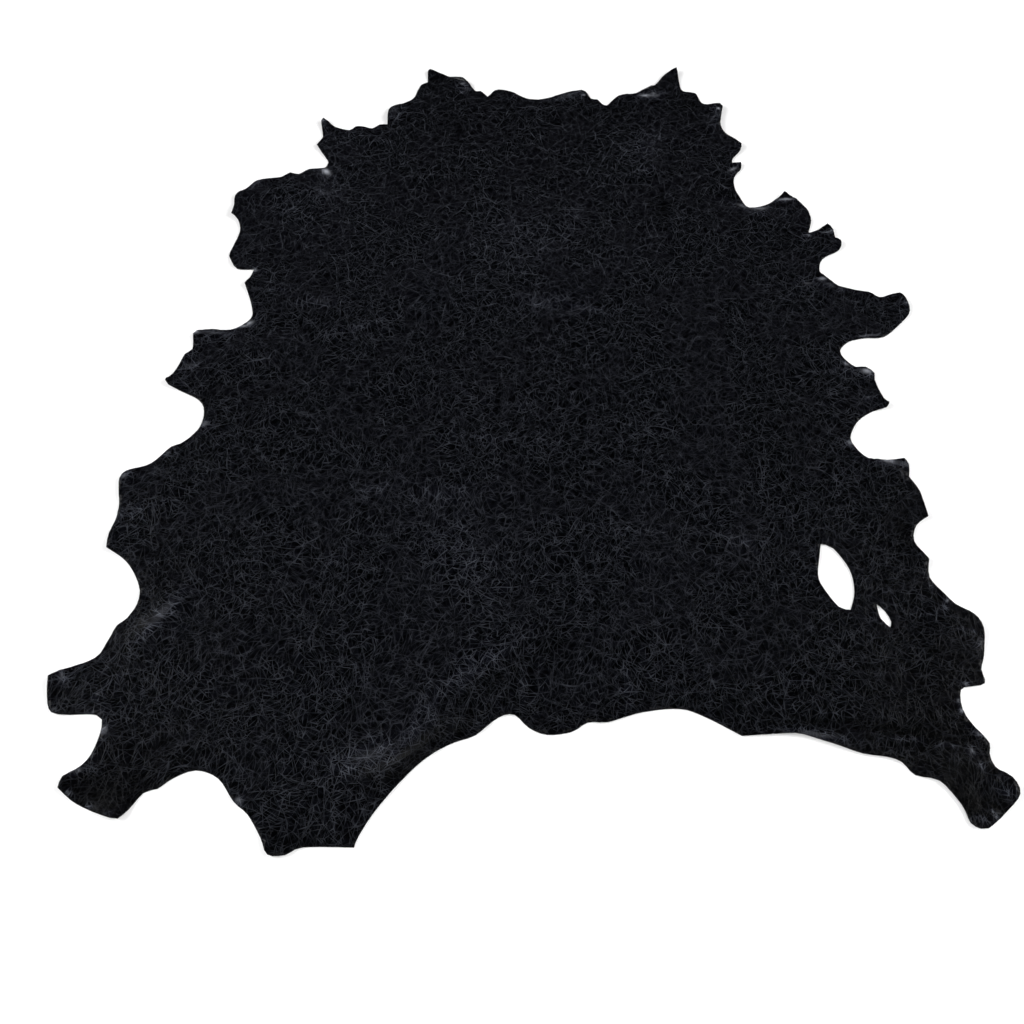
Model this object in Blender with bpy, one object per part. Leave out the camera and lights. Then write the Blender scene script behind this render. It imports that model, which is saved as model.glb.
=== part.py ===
"""Full leather hide lying flat: one closed sheet with its ragged toggled edge, two holes and soft folds.

The neck points along +Y and the rump along -Y. The sheet rests on the plane Z = 0, and the origin is
the middle of its box on that plane. The tables are in centimetres, the mesh is in metres.
"""
import math
from collections import namedtuple

import bmesh
import bpy
from mathutils import Vector
from mathutils.geometry import delaunay_2d_cdt

CENTIMETRE = 0.01
THICKNESS = 0.0018          # upholstery hide
EDGE_STEP = 0.018           # longest straight piece of the cut edge
LATTICE_STEP = 0.056        # spacing of the points inside the sheet
CREST_STEP = 0.032          # spacing of the points along a fold
ROW_CLEARANCE = 0.014       # no two points of the folds' rows lie closer than this
EDGE_CLEARANCE = 0.017      # no inner point lies closer to the cut edge than this
LATTICE_CLEARANCE = 0.031   # no lattice point lies closer to the folds' rows than this
POINT_TOLERANCE = 1e-7      # points closer than this count as one
HIDE_COLOUR = (0.008, 0.0085, 0.011, 1.0)
HIDE_ROUGHNESS = 0.45

EdgePoint = namedtuple("EdgePoint", "across along corner", defaults=(False,))
Fold = namedtuple("Fold", "start_x start_y middle_x middle_y end_x end_y height width")
Curl = namedtuple("Curl", "across along radius height")
CORNER = True

# The cut edge, clockwise from the spur on the left cheek. A corner is a toggled tip or a sharp inner
# corner; the edge runs in one smooth curve through the points between two corners.
NECK_LEFT = [
    EdgePoint(-73.5, 97.8, CORNER),
    EdgePoint(-72.0, 101.7),
    EdgePoint(-72.3, 104.9),
    EdgePoint(-73.4, 111.3),
    EdgePoint(-72.8, 112.7, CORNER),
    EdgePoint(-70.6, 110.9),
    EdgePoint(-68.5, 108.5),
    EdgePoint(-62.9, 106.6),
    EdgePoint(-61.0, 108.3),
    EdgePoint(-58.7, 108.5),
    EdgePoint(-54.9, 107.2),
    EdgePoint(-52.6, 109.5),
    EdgePoint(-49.7, 109.7, CORNER),
    EdgePoint(-49.6, 118.2),
    EdgePoint(-46.6, 120.8),
    EdgePoint(-41.4, 125.2),
    EdgePoint(-39.9, 130.4),
    EdgePoint(-38.6, 133.9),
    EdgePoint(-36.5, 135.2, CORNER),
    EdgePoint(-36.7, 141.6),
    EdgePoint(-36.0, 142.6, CORNER),
    EdgePoint(-30.7, 140.0),
    EdgePoint(-28.3, 138.6),
    EdgePoint(-24.6, 138.7),
    EdgePoint(-23.0, 137.6),
    EdgePoint(-21.3, 133.7),
    EdgePoint(-18.5, 129.7),
    EdgePoint(-16.9, 129.9),
    EdgePoint(-14.2, 126.4, CORNER),
    EdgePoint(-13.0, 128.1),
    EdgePoint(-11.5, 130.4),
    EdgePoint(-8.7, 130.6),
    EdgePoint(-5.0, 129.0),
]
NECK_RIGHT = [
    EdgePoint(-1.8, 126.5),
    EdgePoint(1.4, 124.7),
    EdgePoint(6.5, 125.2),
    EdgePoint(14.2, 128.4),
    EdgePoint(20.3, 130.5),
    EdgePoint(21.7, 129.6),
    EdgePoint(23.5, 125.2),
    EdgePoint(25.9, 124.7),
    EdgePoint(27.3, 122.0),
    EdgePoint(29.1, 120.9),
    EdgePoint(31.8, 124.4),
    EdgePoint(33.7, 126.6),
    EdgePoint(36.6, 127.2),
    EdgePoint(40.3, 126.9),
    EdgePoint(45.8, 132.0),
    EdgePoint(47.2, 131.8),
    EdgePoint(50.5, 137.9),
    EdgePoint(54.5, 141.9),
    EdgePoint(56.3, 142.9, CORNER),
    EdgePoint(56.5, 138.1),
    EdgePoint(56.9, 130.8),
    EdgePoint(58.5, 129.2),
    EdgePoint(61.9, 128.6),
    EdgePoint(63.6, 122.8),
    EdgePoint(66.8, 121.1),
    EdgePoint(70.0, 121.2, CORNER),
    EdgePoint(70.8, 119.8),
]
RIGHT_SHOULDER = [
    EdgePoint(70.0, 115.9),
    EdgePoint(68.8, 108.3),
    EdgePoint(71.4, 103.2),
    EdgePoint(74.9, 98.0, CORNER),
    EdgePoint(74.2, 94.9),
    EdgePoint(71.1, 90.8),
    EdgePoint(70.6, 88.3, CORNER),
    EdgePoint(73.5, 88.3, CORNER),
    EdgePoint(73.3, 85.4),
    EdgePoint(70.4, 80.8),
    EdgePoint(69.9, 75.2),
    EdgePoint(71.3, 69.5),
    EdgePoint(72.7, 66.0),
    EdgePoint(75.0, 65.4),
    EdgePoint(80.3, 67.4),
    EdgePoint(86.0, 72.3, CORNER),
    EdgePoint(89.7, 69.0),
    EdgePoint(92.2, 65.1),
    EdgePoint(93.0, 60.3),
    EdgePoint(92.4, 57.0),
    EdgePoint(91.2, 53.3, CORNER),
    EdgePoint(93.4, 53.6),
    EdgePoint(97.6, 56.4, CORNER),
    EdgePoint(99.2, 53.9),
    EdgePoint(99.2, 50.2),
    EdgePoint(100.7, 48.8),
    EdgePoint(99.6, 44.9),
    EdgePoint(93.5, 40.7),
    EdgePoint(91.6, 35.3),
    EdgePoint(92.6, 33.7),
    EdgePoint(95.2, 29.7),
]
RIGHT_FORE_SHANK = [
    EdgePoint(98.9, 27.6),
    EdgePoint(105.2, 26.0),
    EdgePoint(108.1, 23.8),
    EdgePoint(113.4, 25.2),
    EdgePoint(115.5, 24.5),
    EdgePoint(116.2, 17.8),
    EdgePoint(112.5, 12.8),
    EdgePoint(106.0, 7.1),
    EdgePoint(100.0, 6.6),
    EdgePoint(95.0, 5.0),
    EdgePoint(91.9, 1.3),
    EdgePoint(93.3, -2.5),
    EdgePoint(95.5, -4.9),
    EdgePoint(98.3, -4.9),
    EdgePoint(100.3, -7.5),
    EdgePoint(99.9, -10.0),
    EdgePoint(101.0, -17.0),
    EdgePoint(102.2, -18.5, CORNER),
    EdgePoint(101.2, -20.4),
    EdgePoint(97.2, -21.5),
    EdgePoint(92.5, -24.8),
    EdgePoint(89.5, -29.5),
    EdgePoint(89.0, -32.6),
    EdgePoint(91.0, -36.5),
    EdgePoint(94.0, -38.9),
    EdgePoint(102.3, -38.3, CORNER),
    EdgePoint(103.1, -40.6),
    EdgePoint(102.2, -44.5, CORNER),
]
RIGHT_FLANK = [
    EdgePoint(104.3, -49.1),
    EdgePoint(104.3, -57.6, CORNER),
    EdgePoint(100.8, -60.1),
    EdgePoint(99.1, -65.0),
    EdgePoint(101.5, -70.6, CORNER),
    EdgePoint(100.7, -75.7),
    EdgePoint(103.4, -80.4),
    EdgePoint(105.3, -83.2),
    EdgePoint(109.1, -86.3),
    EdgePoint(110.3, -90.3),
    EdgePoint(108.8, -97.2),
    EdgePoint(107.2, -101.0),
    EdgePoint(107.1, -104.6),
    EdgePoint(103.3, -105.5),
    EdgePoint(101.0, -106.3),
    EdgePoint(100.2, -111.2),
    EdgePoint(102.0, -115.8),
    EdgePoint(104.0, -119.7),
    EdgePoint(103.5, -122.0),
    EdgePoint(104.1, -125.0),
]
RIGHT_HIND_SHANK = [
    EdgePoint(107.0, -127.5),
    EdgePoint(107.7, -131.4),
    EdgePoint(103.3, -135.7),
    EdgePoint(99.0, -138.8),
    EdgePoint(97.3, -138.9),
    EdgePoint(95.3, -137.7),
    EdgePoint(94.3, -133.7),
    EdgePoint(90.7, -128.3),
    EdgePoint(85.7, -126.9),
    EdgePoint(83.3, -124.0),
    EdgePoint(80.0, -122.7),
    EdgePoint(74.7, -121.9),
    EdgePoint(66.7, -119.1),
    EdgePoint(60.0, -117.3),
    EdgePoint(47.7, -117.7, CORNER),
]
RUMP = [
    EdgePoint(40.0, -113.2),
    EdgePoint(34.0, -111.1),
    EdgePoint(25.3, -111.9),
    EdgePoint(16.9, -114.4),
    EdgePoint(12.4, -114.4),
    EdgePoint(8.5, -116.7),
    EdgePoint(2.8, -117.4),
    EdgePoint(-1.4, -115.7),
    EdgePoint(-4.7, -112.6),
    EdgePoint(-8.6, -113.3),
    EdgePoint(-13.7, -117.5),
    EdgePoint(-20.0, -119.9),
    EdgePoint(-26.9, -124.7),
    EdgePoint(-34.7, -133.8),
    EdgePoint(-38.7, -140.4),
    EdgePoint(-39.5, -142.9, CORNER),
]
LEFT_HIND_SHANK = [
    EdgePoint(-50.5, -142.9),
    EdgePoint(-54.2, -144.6),
    EdgePoint(-58.0, -144.5),
    EdgePoint(-60.0, -140.9),
    EdgePoint(-63.6, -135.8),
    EdgePoint(-67.2, -132.9),
    EdgePoint(-71.4, -127.7),
    EdgePoint(-76.8, -125.8),
    EdgePoint(-81.5, -127.6),
    EdgePoint(-84.6, -130.0),
    EdgePoint(-87.6, -131.0),
    EdgePoint(-90.9, -136.0),
    EdgePoint(-93.4, -136.7),
    EdgePoint(-102.0, -133.4),
    EdgePoint(-106.7, -130.0, CORNER),
    EdgePoint(-106.4, -127.3),
    EdgePoint(-103.6, -125.3),
    EdgePoint(-101.3, -122.0),
    EdgePoint(-100.4, -115.6),
    EdgePoint(-102.3, -112.6),
    EdgePoint(-111.5, -112.4),
    EdgePoint(-114.3, -109.9),
    EdgePoint(-115.7, -103.0, CORNER),
    EdgePoint(-113.4, -101.5),
    EdgePoint(-106.0, -98.0),
]
LEFT_FLANK = [
    EdgePoint(-104.1, -94.1),
    EdgePoint(-102.5, -89.2),
    EdgePoint(-100.4, -87.2),
    EdgePoint(-98.6, -82.1),
    EdgePoint(-100.1, -76.8),
    EdgePoint(-104.4, -70.8),
    EdgePoint(-109.9, -67.2, CORNER),
    EdgePoint(-110.4, -62.6),
    EdgePoint(-109.6, -55.0),
    EdgePoint(-111.4, -45.3),
    EdgePoint(-109.1, -42.0),
    EdgePoint(-104.0, -39.7),
    EdgePoint(-99.7, -34.1),
    EdgePoint(-97.3, -33.0),
    EdgePoint(-93.3, -28.5),
    EdgePoint(-92.5, -22.9),
    EdgePoint(-94.9, -17.4),
    EdgePoint(-104.6, -11.9),
    EdgePoint(-105.5, -9.7, CORNER),
    EdgePoint(-103.9, -7.8),
    EdgePoint(-102.1, 0.3),
    EdgePoint(-100.2, 2.2),
    EdgePoint(-100.9, 8.1),
    EdgePoint(-100.0, 9.4, CORNER),
]
LEFT_SHOULDER = [
    EdgePoint(-95.5, 10.4),
    EdgePoint(-90.1, 10.0),
    EdgePoint(-84.8, 14.5),
    EdgePoint(-85.2, 20.1),
    EdgePoint(-88.6, 29.4, CORNER),
    EdgePoint(-87.4, 31.8),
    EdgePoint(-86.8, 36.1, CORNER),
    EdgePoint(-92.1, 36.3),
    EdgePoint(-94.9, 40.7),
    EdgePoint(-95.5, 43.8),
    EdgePoint(-93.8, 53.3),
    EdgePoint(-95.3, 59.2),
    EdgePoint(-97.7, 61.6, CORNER),
    EdgePoint(-97.4, 65.0),
    EdgePoint(-97.9, 70.6),
    EdgePoint(-95.2, 74.4),
    EdgePoint(-91.6, 79.5),
    EdgePoint(-83.9, 81.2),
    EdgePoint(-81.1, 83.3),
    EdgePoint(-78.1, 82.6),
    EdgePoint(-74.8, 85.3),
    EdgePoint(-69.7, 85.4, CORNER),
    EdgePoint(-68.6, 88.8),
    EdgePoint(-71.1, 93.5),
]
CUT_EDGE = (NECK_LEFT + NECK_RIGHT + RIGHT_SHOULDER + RIGHT_FORE_SHANK + RIGHT_FLANK
            + RIGHT_HIND_SHANK + RUMP + LEFT_HIND_SHANK + LEFT_FLANK + LEFT_SHOULDER)

# Two slit holes in the right flank, torn wide while the hide was stretched.
LARGE_HOLE = [
    EdgePoint(74.7, -65.8, CORNER),
    EdgePoint(77.7, -67.1),
    EdgePoint(80.8, -73.4),
    EdgePoint(80.8, -79.9),
    EdgePoint(78.9, -85.0, CORNER),
    EdgePoint(76.1, -84.1),
    EdgePoint(73.1, -78.5),
    EdgePoint(72.5, -74.8),
]
SMALL_HOLE = [
    EdgePoint(85.6, -83.4, CORNER),
    EdgePoint(87.4, -85.4),
    EdgePoint(88.3, -88.2),
    EdgePoint(87.7, -89.9, CORNER),
    EdgePoint(85.8, -87.6),
]
HOLES = [LARGE_HOLE, SMALL_HOLE]

# Each fold is a soft ridge whose crest runs from its start through its middle to its end.
FOLDS = [
    Fold(-46.0, -127.0, -22.0, -111.0, -4.0, -93.0, 1.5, 8.0),
    Fold(-3.0, -61.0, 28.0, -60.5, 60.0, -68.0, 0.8, 7.0),
    Fold(-53.0, -31.0, -20.0, -30.0, 11.0, -35.0, 0.7, 6.0),
    Fold(-43.0, -48.0, -18.0, -49.5, 8.0, -48.5, 0.6, 6.0),
    Fold(-84.0, 22.0, -70.0, 23.5, -57.0, 22.5, 0.7, 5.0),
    Fold(-64.0, 7.5, -52.0, 12.0, -40.0, 14.0, 0.7, 5.0),
    Fold(-10.0, 22.5, 0.0, 23.5, 10.0, 22.5, 0.5, 5.0),
    Fold(-5.0, 79.0, 28.0, 82.0, 61.0, 79.5, 0.9, 8.0),
    Fold(-96.0, -93.5, -91.5, -86.5, -85.5, -78.5, 1.2, 5.0),
    Fold(96.0, -86.0, 102.0, -87.5, 108.0, -89.0, 0.9, 4.0),
    Fold(95.0, -92.5, 101.5, -93.0, 107.5, -95.0, 0.8, 4.0),
    Fold(93.0, -37.5, 97.0, -41.0, 102.0, -44.0, 1.0, 4.0),
    Fold(50.0, -117.2, 75.0, -119.5, 100.0, -123.0, 0.8, 5.5),
    Fold(36.0, 124.0, 43.0, 127.0, 50.0, 133.0, 1.1, 5.0),
    Fold(-29.0, 133.0, -24.0, 134.5, -20.0, 132.0, 0.9, 4.0),
    Fold(-50.5, 110.0, -49.0, 117.0, -46.0, 121.5, 0.9, 4.0),
    Fold(65.0, 104.0, 67.5, 113.0, 68.5, 122.5, 1.1, 5.0),
]

# A curl is a tab or an inner corner that stands a little off the floor.
CURLS = [
    Curl(-73.4, 113.4, 9.0, 0.8),
    Curl(-36.3, 143.6, 9.0, 0.8),
    Curl(56.6, 144.0, 10.0, 1.0),
    Curl(70.5, 122.0, 7.0, 0.8),
    Curl(75.0, 98.8, 8.0, 0.9),
    Curl(73.8, 88.5, 6.0, 0.7),
    Curl(86.6, 73.5, 9.0, 1.4),
    Curl(98.0, 57.2, 8.0, 1.2),
    Curl(101.0, 49.0, 6.0, 0.7),
    Curl(116.0, 22.0, 9.0, 0.8),
    Curl(102.3, -18.2, 8.0, 0.8),
    Curl(102.6, -37.8, 6.0, 0.7),
    Curl(104.5, -57.0, 7.0, 0.8),
    Curl(101.6, -70.2, 6.0, 0.7),
    Curl(110.5, -90.0, 7.0, 0.7),
    Curl(104.0, -119.5, 6.0, 0.7),
    Curl(107.5, -131.0, 9.0, 0.8),
    Curl(-57.0, -144.0, 9.0, 0.8),
    Curl(-93.0, -136.0, 8.0, 0.8),
    Curl(-107.0, -129.8, 8.0, 0.8),
    Curl(-116.0, -102.8, 9.0, 1.0),
    Curl(-110.5, -66.5, 8.0, 0.8),
    Curl(-111.6, -45.0, 8.0, 0.8),
    Curl(-105.8, -9.0, 8.0, 0.9),
    Curl(-101.0, 9.0, 6.0, 0.7),
    Curl(-88.8, 30.0, 7.0, 0.8),
    Curl(-98.0, 62.6, 7.0, 0.8),
    Curl(-97.8, 72.0, 6.0, 0.7),
    Curl(-73.4, 98.0, 6.0, 0.6),
]
FOLD_BLEND = 3.0            # how sharply the higher of two meeting folds wins
CREST_SAMPLES = 12
FULL_SHARE = 0.21           # share of its length over which a fold rises at each end
END_HEIGHT = 0.15           # how far a fold has already risen where its crest ends
ROW_SHARES = (-1.0, -0.5, 0.5, 1.0)     # rows of points beside a crest, as shares of the fold's width
INSIDE_LOOPS = 1            # the triangulation keeps the faces inside the closed loops


def smooth_step(value):
    """Ease from 0 to 1."""
    value = min(max(value, 0.0), 1.0)
    return value * value * (3.0 - 2.0 * value)


def curve_between(before, start, end, after, share):
    """Point at a share of the way from start to end on a curve through four points."""
    square = share * share
    cube = square * share
    return 0.5 * (2.0 * start + (end - before) * share
                  + (2.0 * before - 5.0 * start + 4.0 * end - after) * square
                  + (3.0 * start - before - 3.0 * end + after) * cube)


def smooth_loop(points):
    """Closed outline in metres: smooth through the points, sharp at the corners."""
    places = [Vector((point.across, point.along)) * CENTIMETRE for point in points]
    count = len(places)
    outline = []
    for index, point in enumerate(points):
        start = places[index]
        end = places[(index + 1) % count]
        before = start if point.corner else places[index - 1]
        after = end if points[(index + 1) % count].corner else places[(index + 2) % count]
        pieces = max(1, math.ceil((end - start).length / EDGE_STEP))
        for piece in range(pieces):
            outline.append(curve_between(before, start, end, after, piece / pieces))
    return outline


def fold_crest(fold, samples=CREST_SAMPLES):
    """Points in metres along a fold's crest, which bends through its middle."""
    start = Vector((fold.start_x, fold.start_y)) * CENTIMETRE
    middle = Vector((fold.middle_x, fold.middle_y)) * CENTIMETRE
    end = Vector((fold.end_x, fold.end_y)) * CENTIMETRE
    pull = 2.0 * middle - 0.5 * (start + end)
    crest = []
    for index in range(samples + 1):
        share = index / samples
        crest.append(start.lerp(pull, share).lerp(pull.lerp(end, share), share))
    return crest


CRESTS = [(fold, fold_crest(fold)) for fold in FOLDS]


def fold_height(place, fold, crest):
    """Height of one ridge at a place: highest on the crest, fading to its sides and ends."""
    width = fold.width * CENTIMETRE
    height = 0.0
    for index in range(len(crest) - 1):
        run = crest[index + 1] - crest[index]
        share = min(max((place - crest[index]).dot(run) / run.length_squared, 0.0), 1.0)
        distance = (place - crest[index] - run * share).length
        along = (index + share) / (len(crest) - 1)
        taper = smooth_step(END_HEIGHT + (1.0 - END_HEIGHT) * min(along, 1.0 - along) / FULL_SHARE)
        height = max(height, taper * smooth_step(1.0 - distance / width))
    return height * fold.height * CENTIMETRE


def curl_height(place, curl):
    """Height of one lifted tab or corner at a place."""
    distance = (place - Vector((curl.across, curl.along)) * CENTIMETRE).length
    return smooth_step(1.0 - distance / (curl.radius * CENTIMETRE)) * curl.height * CENTIMETRE


def sheet_height(place):
    """Height of the sheet's underside: zero except on the folds and the lifted tabs."""
    heights = [fold_height(place, fold, crest) for fold, crest in CRESTS]
    heights += [curl_height(place, curl) for curl in CURLS]
    return sum(height ** FOLD_BLEND for height in heights) ** (1.0 / FOLD_BLEND)


def distance_to_loops(place, loops):
    """Distance from a place to the nearest point of the cut edges."""
    return min((place - point).length for loop in loops for point in loop)


def is_inside(place, loop):
    """Whether a place lies inside a closed outline."""
    inside = False
    before = loop[-1]
    for point in loop:
        if (point.y > place.y) != (before.y > place.y):
            crossing = point.x + (place.y - point.y) * (before.x - point.x) / (before.y - point.y)
            if place.x < crossing:
                inside = not inside
        before = point
    return inside


def fold_rows(fold):
    """Points along a fold's crest, half way down both its slopes and along both its feet."""
    crest = fold_crest(fold)
    length = sum((crest[index + 1] - crest[index]).length for index in range(len(crest) - 1))
    crest = fold_crest(fold, max(2, round(length / CREST_STEP)))
    rows = list(crest)
    for share in ROW_SHARES:
        for index in range(len(crest)):
            run = crest[min(index + 1, len(crest) - 1)] - crest[max(index - 1, 0)]
            sideways = Vector((-run.y, run.x)).normalized()
            rows.append(crest[index] + sideways * share * fold.width * CENTIMETRE)
    return rows


def inner_points(outline, holes):
    """Points inside the sheet: in rows along the folds, a triangular lattice elsewhere."""
    loops = [outline] + holes

    def on_sheet(place):
        return (is_inside(place, outline) and not any(is_inside(place, hole) for hole in holes)
                and distance_to_loops(place, loops) > EDGE_CLEARANCE)

    points = []
    for fold in FOLDS:
        for place in fold_rows(fold):
            if on_sheet(place) and all((place - other).length > ROW_CLEARANCE for other in points):
                points.append(place)
    row_points = list(points)
    row_step = LATTICE_STEP * math.sqrt(3.0) / 2.0
    low_x = min(point.x for point in outline)
    high_x = max(point.x for point in outline)
    low_y = min(point.y for point in outline)
    high_y = max(point.y for point in outline)
    for row in range(math.ceil((high_y - low_y) / row_step)):
        shift = 0.5 * LATTICE_STEP if row % 2 else 0.0
        for column in range(math.ceil((high_x - low_x) / LATTICE_STEP)):
            place = Vector((low_x + shift + column * LATTICE_STEP, low_y + row * row_step))
            clear = all((place - other).length > LATTICE_CLEARANCE for other in row_points)
            if clear and on_sheet(place):
                points.append(place)
    return points


def hide_mesh():
    """The sheet as one closed mesh: underside, top face and the cut edge between them."""
    outline = smooth_loop(CUT_EDGE)
    middle = Vector((min(p.x for p in outline) + max(p.x for p in outline),
                     min(p.y for p in outline) + max(p.y for p in outline))) * 0.5
    holes = [smooth_loop(hole) for hole in HOLES]
    points = list(outline)
    edges = [(index, (index + 1) % len(outline)) for index in range(len(outline))]
    for hole in holes:
        first = len(points)
        points += hole
        edges += [(first + index, first + (index + 1) % len(hole)) for index in range(len(hole))]
    points += inner_points(outline, holes)
    flat_points, _, faces, _, _, _ = delaunay_2d_cdt(points, edges, [], INSIDE_LOOPS, POINT_TOLERANCE)

    def on_leather(face):
        centre = sum((flat_points[index] for index in face), Vector((0.0, 0.0))) / len(face)
        return not any(is_inside(centre, hole) for hole in holes)

    faces = [face for face in faces if on_leather(face)]

    mesh = bmesh.new()
    under = []
    top = []
    for place in flat_points:
        height = sheet_height(place)
        across = place.x - middle.x
        along = place.y - middle.y
        under.append(mesh.verts.new((across, along, height)))
        top.append(mesh.verts.new((across, along, height + THICKNESS)))
    for face in faces:
        mesh.faces.new([top[index] for index in face])
        mesh.faces.new([under[index] for index in reversed(face)])
    for start, end in edges:
        mesh.faces.new([under[start], top[start], top[end], under[end]])
    bmesh.ops.triangulate(mesh, faces=mesh.faces)
    bmesh.ops.recalc_face_normals(mesh, faces=mesh.faces)
    return mesh


def leather_material():
    """Near-black crackle leather."""
    material = bpy.data.materials.new("black_crackle_leather")
    material.use_nodes = True
    shader = material.node_tree.nodes["Principled BSDF"]
    shader.inputs["Base Color"].default_value = HIDE_COLOUR
    shader.inputs["Roughness"].default_value = HIDE_ROUGHNESS
    shader.inputs["Metallic"].default_value = 0.0
    return material


def build():
    """Clear the scene and lay the hide in it."""
    for existing in list(bpy.data.objects):
        bpy.data.objects.remove(existing, do_unlink=True)
    mesh = bpy.data.meshes.new("hide")
    sheet = hide_mesh()
    sheet.to_mesh(mesh)
    sheet.free()
    mesh.materials.append(leather_material())
    hide = bpy.data.objects.new("hide", mesh)
    bpy.context.scene.collection.objects.link(hide)


build()
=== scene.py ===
"""Looks of a whole black crackle-finished leather hide that lies flat, grain side up."""
import math
from collections import namedtuple

import bmesh
import bpy
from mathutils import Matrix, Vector, noise
from mathutils.bvhtree import BVHTree
from mathutils.kdtree import KDTree


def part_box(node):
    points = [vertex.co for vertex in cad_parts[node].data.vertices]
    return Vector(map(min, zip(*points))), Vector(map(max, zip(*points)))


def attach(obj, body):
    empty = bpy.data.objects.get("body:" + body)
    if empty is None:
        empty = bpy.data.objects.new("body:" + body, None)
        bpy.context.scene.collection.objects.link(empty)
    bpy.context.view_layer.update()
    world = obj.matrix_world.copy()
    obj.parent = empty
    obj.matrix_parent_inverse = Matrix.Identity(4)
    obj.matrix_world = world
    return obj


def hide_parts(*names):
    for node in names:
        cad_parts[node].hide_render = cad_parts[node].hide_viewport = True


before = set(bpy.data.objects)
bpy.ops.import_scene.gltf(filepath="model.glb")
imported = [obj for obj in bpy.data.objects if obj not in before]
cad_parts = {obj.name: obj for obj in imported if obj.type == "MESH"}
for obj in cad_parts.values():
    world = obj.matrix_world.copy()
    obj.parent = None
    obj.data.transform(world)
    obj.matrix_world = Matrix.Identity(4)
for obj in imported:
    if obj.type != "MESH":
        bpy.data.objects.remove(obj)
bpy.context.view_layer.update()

# Camera, floor and light. The view looks down on the hide from beyond its rump, as from a ladder,
# over a plain pale floor. Wide soft panels at the sides and behind the camera light it evenly, and the
# part of the room that the grain mirrors stays dim, so that black leather stays black.
CAMERA_PLACE = (-0.0563, -2.0032, 2.2)
CAMERA_TILT = 33.5
CAMERA_LENS = 35.0
SENSOR_WIDTH = 36.0
FLOOR_SIZE = 9.0
FLOOR_DROP = 0.0005
FLOOR_COLOUR = (0.93, 0.93, 0.93, 1.0)
FLOOR_ROUGHNESS = 0.9
FLOOR_SPECULAR = 0.1
ROOM_COLOUR = (1.0, 1.0, 1.0, 1.0)
ROOM_STRENGTH = 0.035

# The light panels, with their places, targets and sizes in metres and their power in watts.
Panel = namedtuple("Panel", "name place target size power")
PANELS = [
    Panel("left_panel", (-9.0, 1.4, 5.0), (-0.6, 1.4, 0.0), (7.0, 4.0), 980.0),
    Panel("right_panel", (9.0, 1.4, 5.0), (0.6, 1.4, 0.0), (7.0, 4.0), 980.0),
    Panel("near_panel", (0.0, -3.2, 5.0), (0.0, 0.3, 0.0), (5.0, 2.0), 200.0),
]


def place_camera():
    """The view of the photo, which looks down along the hide's back."""
    data = bpy.data.cameras.new("camera")
    data.lens = CAMERA_LENS
    data.sensor_width = SENSOR_WIDTH
    camera = bpy.data.objects.new("camera", data)
    camera.location = CAMERA_PLACE
    camera.rotation_euler = (math.radians(CAMERA_TILT), 0.0, 0.0)
    bpy.context.scene.collection.objects.link(camera)
    bpy.context.scene.camera = camera
    bpy.context.scene.view_settings.view_transform = "Standard"


def floor_paint():
    """Matt pale paint of the floor."""
    material = bpy.data.materials.new("pale_floor")
    material.use_nodes = True
    shader = material.node_tree.nodes["Principled BSDF"]
    shader.inputs["Base Color"].default_value = FLOOR_COLOUR
    shader.inputs["Roughness"].default_value = FLOOR_ROUGHNESS
    shader.inputs["Specular IOR Level"].default_value = FLOOR_SPECULAR
    return material


def lay_floor():
    """A pale floor just under the hide."""
    mesh = bpy.data.meshes.new("floor")
    shape = bmesh.new()
    bmesh.ops.create_grid(shape, x_segments=1, y_segments=1, size=FLOOR_SIZE * 0.5)
    bmesh.ops.translate(shape, verts=shape.verts, vec=(0.0, 0.0, -FLOOR_DROP))
    shape.to_mesh(mesh)
    shape.free()
    mesh.materials.append(floor_paint())
    floor = bpy.data.objects.new("floor", mesh)
    bpy.context.scene.collection.objects.link(floor)


def hang_panel(panel):
    """One soft light panel that faces its target."""
    data = bpy.data.lights.new(panel.name, "AREA")
    data.shape = "RECTANGLE"
    data.size, data.size_y = panel.size
    data.energy = panel.power
    lamp = bpy.data.objects.new(panel.name, data)
    lamp.location = panel.place
    direction = Vector(panel.target) - Vector(panel.place)
    lamp.rotation_euler = direction.to_track_quat("-Z", "Y").to_euler()
    bpy.context.scene.collection.objects.link(lamp)


def light_room():
    """Dim even light from the room itself, which the camera sees as a plain white backdrop."""
    world = bpy.data.worlds.new("room")
    world.use_nodes = True
    background = world.node_tree.nodes["Background"]
    background.inputs["Color"].default_value = ROOM_COLOUR
    rays = world.node_tree.nodes.new("ShaderNodeLightPath")
    seen = world.node_tree.nodes.new("ShaderNodeMath")
    seen.operation = "MAXIMUM"
    seen.inputs[1].default_value = ROOM_STRENGTH
    world.node_tree.links.new(rays.outputs["Is Camera Ray"], seen.inputs[0])
    world.node_tree.links.new(seen.outputs[0], background.inputs["Strength"])
    bpy.context.scene.world = world


place_camera()
lay_floor()
light_room()
for panel in PANELS:
    hang_panel(panel)

# The hide: one whole tanned skin, 1.8 mm thick, milled soft and finished with a black crackle coat on
# the grain side. It was stretched on a frame with toggles to dry, which pulled its edge into tabs and
# bays, and was then trimmed lightly and laid down flat.
CM = 0.01
MM = 0.001
THICKNESS = 0.0018

# The sheet is a grid of square cells, cut along its edge by a tall prism of the solid's outline. In a
# band along the edge and round the holes its cells are cut finer.
CELL = 0.014
PRISM_HEIGHT = 0.05
RIM_BAND = 0.03
RIM_CUTS = 2
RIM_WELD = 0.0004
RIM_INSET = 0.0004
SOLID_WELD = 0.00001
FACES_UP = 0.5
PROBE_HEIGHT = 1.0
SMOOTHING_ROUNDS = 10
SMOOTHING_SHARE = 0.5

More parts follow.
